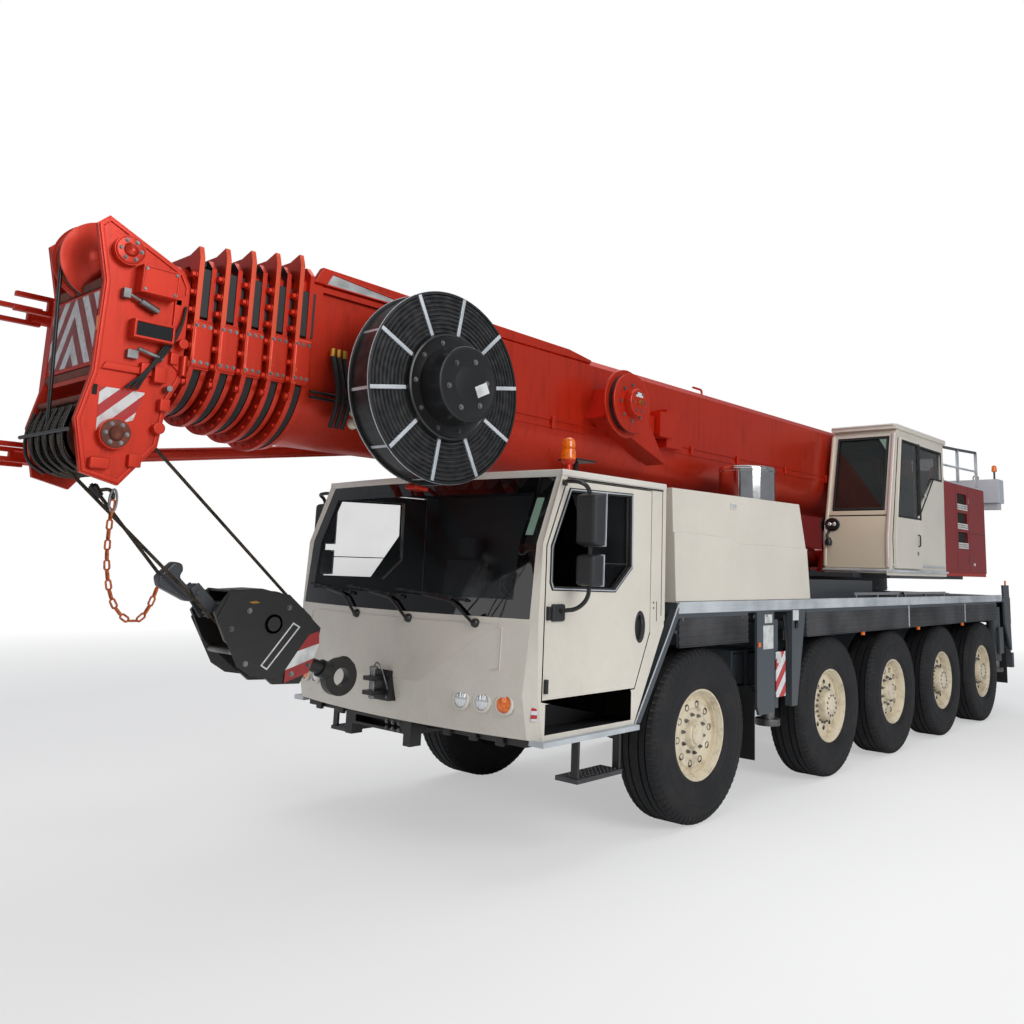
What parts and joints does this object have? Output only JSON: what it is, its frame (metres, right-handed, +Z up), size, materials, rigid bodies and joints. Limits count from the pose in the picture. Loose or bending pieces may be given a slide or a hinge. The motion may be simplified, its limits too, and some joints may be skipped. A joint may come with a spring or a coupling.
{
  "type": "mobile crane",
  "caption": "Five-axle all-terrain mobile crane with driver's cab, slewing crane cab, telescopic boom, stowed jib, cable reel and moored hook block.",
  "frame": {"origin": "on the ground under the middle of the crane's bounding box", "axes": "+X to the crane's front, +Y to its left, +Z up"},
  "size_m": [13.66, 3.3, 3.927],
  "materials": {
    "wheel": "matte",
    "knuckle_steel": "painted",
    "frame_grey": "satin",
    "deck_grey": "satin",
    "cream_paint": "gloss",
    "glass": "clear",
    "interior": "matte",
    "polished_steel": "polished",
    "black_steel": "satin",
    "lamp_amber": "gloss",
    "red_paint": "gloss",
    "counterweight_grey": "satin",
    "orange_chain": "worn"
  },
  "bodies": {
    "carrier": {"chassis_frame": "frame_grey", "axle_beams": "knuckle_steel", "deck_and_guards": "deck_grey", "cab_shell": "cream_paint", "cab_windshield": "glass", "cab_interior": "interior", "engine_cover": "cream_paint", "exhaust": "polished_steel", "carrier_lamps": "lamp_amber", "coupling_steps_and_wipers": "black_steel"},
    "superstructure": {"slew_platform": "red_paint", "crane_cab_shell": "cream_paint", "crane_cab_glass": "glass", "crane_cab_interior": "interior", "powerhouse_and_tank": "red_paint", "counterweight": "counterweight_grey"},
    "crane_cab_door": {"crane_cab_door": "cream_paint"},
    "hoist_winch": {"hoist_winch": "red_paint"},
    "boom_base": {"boom_base": "red_paint", "stowed_jib": "red_paint"},
    "luff_barrel": {"luff_barrel": "red_paint"},
    "luff_rod": {"luff_rod": "polished_steel"},
    "cable_reel": {"cable_reel": "black_steel"},
    "small_drum": {"small_drum": "red_paint"},
    "boom_head": {"boom_head": "red_paint"},
    "hook_block": {"hook_block": "black_steel", "hook_ropes": "black_steel", "sling_chain": "orange_chain"},
    "boom_section_1": {"boom_section_1": "red_paint"},
    "boom_section_2": {"boom_section_2": "red_paint"},
    "boom_section_3": {"boom_section_3": "red_paint"},
    "boom_section_4": {"boom_section_4": "red_paint"},
    "carrier_door_left": {"carrier_door_left": "cream_paint"},
    "carrier_door_right": {"carrier_door_right": "cream_paint"},
    "outrigger_beam_front_left": {"outrigger_beam_front_left": "frame_grey"},
    "outrigger_jack_front_left": {"outrigger_jack_front_left": "polished_steel"},
    "outrigger_beam_front_right": {"outrigger_beam_front_right": "frame_grey"},
    "outrigger_jack_front_right": {"outrigger_jack_front_right": "polished_steel"},
    "outrigger_beam_rear_left": {"outrigger_beam_rear_left": "frame_grey"},
    "outrigger_jack_rear_left": {"outrigger_jack_rear_left": "polished_steel"},
    "outrigger_beam_rear_right": {"outrigger_beam_rear_right": "frame_grey"},
    "outrigger_jack_rear_right": {"outrigger_jack_rear_right": "polished_steel"},
    "wheel_1_left": {"wheel_1_left": "wheel"},
    "knuckle_1_left": {"knuckle_1_left": "knuckle_steel"},
    "wheel_1_right": {"wheel_1_right": "wheel"},
    "knuckle_1_right": {"knuckle_1_right": "knuckle_steel"},
    "wheel_2_left": {"wheel_2_left": "wheel"},
    "knuckle_2_left": {"knuckle_2_left": "knuckle_steel"},
    "wheel_2_right": {"wheel_2_right": "wheel"},
    "knuckle_2_right": {"knuckle_2_right": "knuckle_steel"},
    "wheel_3_left": {"wheel_3_left": "wheel"},
    "wheel_3_right": {"wheel_3_right": "wheel"},
    "wheel_4_left": {"wheel_4_left": "wheel"},
    "knuckle_4_left": {"knuckle_4_left": "knuckle_steel"},
    "wheel_4_right": {"wheel_4_right": "wheel"},
    "knuckle_4_right": {"knuckle_4_right": "knuckle_steel"},
    "wheel_5_left": {"wheel_5_left": "wheel"},
    "knuckle_5_left": {"knuckle_5_left": "knuckle_steel"},
    "wheel_5_right": {"wheel_5_right": "wheel"},
    "knuckle_5_right": {"knuckle_5_right": "knuckle_steel"}
  },
  "joints": [
    {"name": "steer_1_left", "type": "hinge", "parent": "carrier", "child": "knuckle_1_left", "pos_m": [2.19, 0.84, 0.685], "axis": [0, 0, 1], "range_deg": [-30, 30]},
    {"name": "wheel_1_left_spin", "type": "hinge", "parent": "knuckle_1_left", "child": "wheel_1_left", "pos_m": [2.19, 1.18, 0.685], "axis": [0, 1, 0], "continuous": true},
    {"name": "steer_1_right", "type": "hinge", "parent": "carrier", "child": "knuckle_1_right", "pos_m": [2.19, -0.84, 0.685], "axis": [0, 0, 1], "range_deg": [-30, 30]},
    {"name": "wheel_1_right_spin", "type": "hinge", "parent": "knuckle_1_right", "child": "wheel_1_right", "pos_m": [2.19, -1.18, 0.685], "axis": [0, 1, 0], "continuous": true},
    {"name": "steer_2_left", "type": "hinge", "parent": "carrier", "child": "knuckle_2_left", "pos_m": [-0.21, 0.84, 0.685], "axis": [0, 0, 1], "range_deg": [-18.5, 18.5]},
    {"name": "wheel_2_left_spin", "type": "hinge", "parent": "knuckle_2_left", "child": "wheel_2_left", "pos_m": [-0.21, 1.18, 0.685], "axis": [0, 1, 0], "continuous": true},
    {"name": "steer_2_right", "type": "hinge", "parent": "carrier", "child": "knuckle_2_right", "pos_m": [-0.21, -0.84, 0.685], "axis": [0, 0, 1], "range_deg": [-18.5, 18.5]},
    {"name": "wheel_2_right_spin", "type": "hinge", "parent": "knuckle_2_right", "child": "wheel_2_right", "pos_m": [-0.21, -1.18, 0.685], "axis": [0, 1, 0], "continuous": true},
    {"name": "wheel_3_left_spin", "type": "hinge", "parent": "carrier", "child": "wheel_3_left", "pos_m": [-1.86, 1.18, 0.685], "axis": [0, 1, 0], "continuous": true},
    {"name": "wheel_3_right_spin", "type": "hinge", "parent": "carrier", "child": "wheel_3_right", "pos_m": [-1.86, -1.18, 0.685], "axis": [0, 1, 0], "continuous": true},
    {"name": "steer_4_left", "type": "hinge", "parent": "carrier", "child": "knuckle_4_left", "pos_m": [-3.51, 0.84, 0.685], "axis": [0, 0, 1], "range_deg": [-11, 11]},
    {"name": "wheel_4_left_spin", "type": "hinge", "parent": "knuckle_4_left", "child": "wheel_4_left", "pos_m": [-3.51, 1.18, 0.685], "axis": [0, 1, 0], "continuous": true},
    {"name": "steer_4_right", "type": "hinge", "parent": "carrier", "child": "knuckle_4_right", "pos_m": [-3.51, -0.84, 0.685], "axis": [0, 0, 1], "range_deg": [-11, 11]},
    {"name": "wheel_4_right_spin", "type": "hinge", "parent": "knuckle_4_right", "child": "wheel_4_right", "pos_m": [-3.51, -1.18, 0.685], "axis": [0, 1, 0], "continuous": true},
    {"name": "steer_5_left", "type": "hinge", "parent": "carrier", "child": "knuckle_5_left", "pos_m": [-5.16, 0.84, 0.685], "axis": [0, 0, 1], "range_deg": [-24.5, 24.5]},
    {"name": "wheel_5_left_spin", "type": "hinge", "parent": "knuckle_5_left", "child": "wheel_5_left", "pos_m": [-5.16, 1.18, 0.685], "axis": [0, 1, 0], "continuous": true},
    {"name": "steer_5_right", "type": "hinge", "parent": "carrier", "child": "knuckle_5_right", "pos_m": [-5.16, -0.84, 0.685], "axis": [0, 0, 1], "range_deg": [-24.5, 24.5]},
    {"name": "wheel_5_right_spin", "type": "hinge", "parent": "knuckle_5_right", "child": "wheel_5_right", "pos_m": [-5.16, -1.18, 0.685], "axis": [0, 1, 0], "continuous": true},
    {"name": "carrier_door_left_hinge", "type": "hinge", "parent": "carrier", "child": "carrier_door_left", "pos_m": [4.09, 1.372, 1.5], "axis": [0, 0, -1], "range_deg": [0, 70]},
    {"name": "carrier_door_right_hinge", "type": "hinge", "parent": "carrier", "child": "carrier_door_right", "pos_m": [4.09, -1.372, 1.5], "axis": [0, 0, 1], "range_deg": [0, 70]},
    {"name": "outrigger_slide_front_left", "type": "slide", "parent": "carrier", "child": "outrigger_beam_front_left", "axis": [0, 1, 0], "range_m": [0, 2]},
    {"name": "outrigger_jack_front_left_drop", "type": "slide", "parent": "outrigger_beam_front_left", "child": "outrigger_jack_front_left", "axis": [0, 0, -1], "range_m": [0, 0.58]},
    {"name": "outrigger_slide_front_right", "type": "slide", "parent": "carrier", "child": "outrigger_beam_front_right", "axis": [0, -1, 0], "range_m": [0, 2]},
    {"name": "outrigger_jack_front_right_drop", "type": "slide", "parent": "outrigger_beam_front_right", "child": "outrigger_jack_front_right", "axis": [0, 0, -1], "range_m": [0, 0.58]},
    {"name": "outrigger_slide_rear_left", "type": "slide", "parent": "carrier", "child": "outrigger_beam_rear_left", "axis": [0, 1, 0], "range_m": [0, 2]},
    {"name": "outrigger_jack_rear_left_drop", "type": "slide", "parent": "outrigger_beam_rear_left", "child": "outrigger_jack_rear_left", "axis": [0, 0, -1], "range_m": [0, 0.58]},
    {"name": "outrigger_slide_rear_right", "type": "slide", "parent": "carrier", "child": "outrigger_beam_rear_right", "axis": [0, -1, 0], "range_m": [0, 2]},
    {"name": "outrigger_jack_rear_right_drop", "type": "slide", "parent": "outrigger_beam_rear_right", "child": "outrigger_jack_rear_right", "axis": [0, 0, -1], "range_m": [0, 0.58]},
    {"name": "slew", "type": "hinge", "parent": "carrier", "child": "superstructure", "pos_m": [-2.91, 0, 1.9], "axis": [0, 0, 1], "continuous": true},
    {"name": "luff", "type": "hinge", "parent": "superstructure", "child": "boom_base", "pos_m": [-4.91, 0, 3.05], "axis": [0, -1, 0], "range_deg": [0, 82]},
    {"name": "luff_barrel_swing", "type": "hinge", "parent": "superstructure", "child": "luff_barrel", "pos_m": [-2.61, 0, 2.19], "axis": [0, -1, 0], "range_deg": [0, 92.9]},
    {"name": "luff_rod_slide", "type": "slide", "parent": "luff_barrel", "child": "luff_rod", "axis": [0.9934, 0, 0.1146], "range_m": [0, 3.103]},
    {"name": "telescope_1", "type": "slide", "parent": "boom_base", "child": "boom_section_1", "axis": [1, 0, 0], "range_m": [0, 8.1]},
    {"name": "telescope_2", "type": "slide", "parent": "boom_section_1", "child": "boom_section_2", "axis": [1, 0, 0], "range_m": [0, 8.1]},
    {"name": "telescope_3", "type": "slide", "parent": "boom_section_2", "child": "boom_section_3", "axis": [1, 0, 0], "range_m": [0, 8.1]},
    {"name": "telescope_4", "type": "slide", "parent": "boom_section_3", "child": "boom_section_4", "axis": [1, 0, 0], "range_m": [0, 8.1]},
    {"name": "telescope_5", "type": "slide", "parent": "boom_section_4", "child": "boom_head", "axis": [1, 0, 0], "range_m": [0, 8.1]},
    {"name": "hook_swing", "type": "hinge", "parent": "boom_head", "child": "hook_block", "pos_m": [6.55, 0, 2.64], "axis": [0, -1, 0], "range_deg": [-28, 0]},
    {"name": "crane_cab_door_slide", "type": "slide", "parent": "superstructure", "child": "crane_cab_door", "axis": [-1, 0, 0], "range_m": [0, 0.8]},
    {"name": "hoist_winch_spin", "type": "hinge", "parent": "superstructure", "child": "hoist_winch", "pos_m": [-6.19, 0, 3.47], "axis": [0, 1, 0], "continuous": true},
    {"name": "cable_reel_spin", "type": "hinge", "parent": "boom_base", "child": "cable_reel", "pos_m": [4.74, 0.9, 3.14], "axis": [0, 1, 0], "continuous": true},
    {"name": "small_drum_spin", "type": "hinge", "parent": "boom_base", "child": "small_drum", "pos_m": [2.44, 0.74, 3.42], "axis": [0, 1, 0], "continuous": true}
  ],
  "couplings": [
    {"joint": "steer_1_right", "follows": "steer_1_left", "ratio": 1},
    {"joint": "steer_2_left", "follows": "steer_1_left", "ratio": 0.6},
    {"joint": "steer_2_right", "follows": "steer_1_left", "ratio": 0.6},
    {"joint": "steer_4_left", "follows": "steer_1_left", "ratio": -0.35},
    {"joint": "steer_4_right", "follows": "steer_1_left", "ratio": -0.35},
    {"joint": "steer_5_left", "follows": "steer_1_left", "ratio": -0.8},
    {"joint": "steer_5_right", "follows": "steer_1_left", "ratio": -0.8},
    {"joint": "luff_barrel_swing", "follows": "luff", "ratio": 1.1203},
    {"joint": "luff_rod_slide", "follows": "luff", "m_per_rad": 2.1611},
    {"joint": "telescope_2", "follows": "telescope_1", "ratio": 1},
    {"joint": "telescope_3", "follows": "telescope_1", "ratio": 1},
    {"joint": "telescope_4", "follows": "telescope_1", "ratio": 1},
    {"joint": "telescope_5", "follows": "telescope_1", "ratio": 1},
    {"joint": "hook_swing", "follows": "luff", "ratio": -0.33}
  ]
}
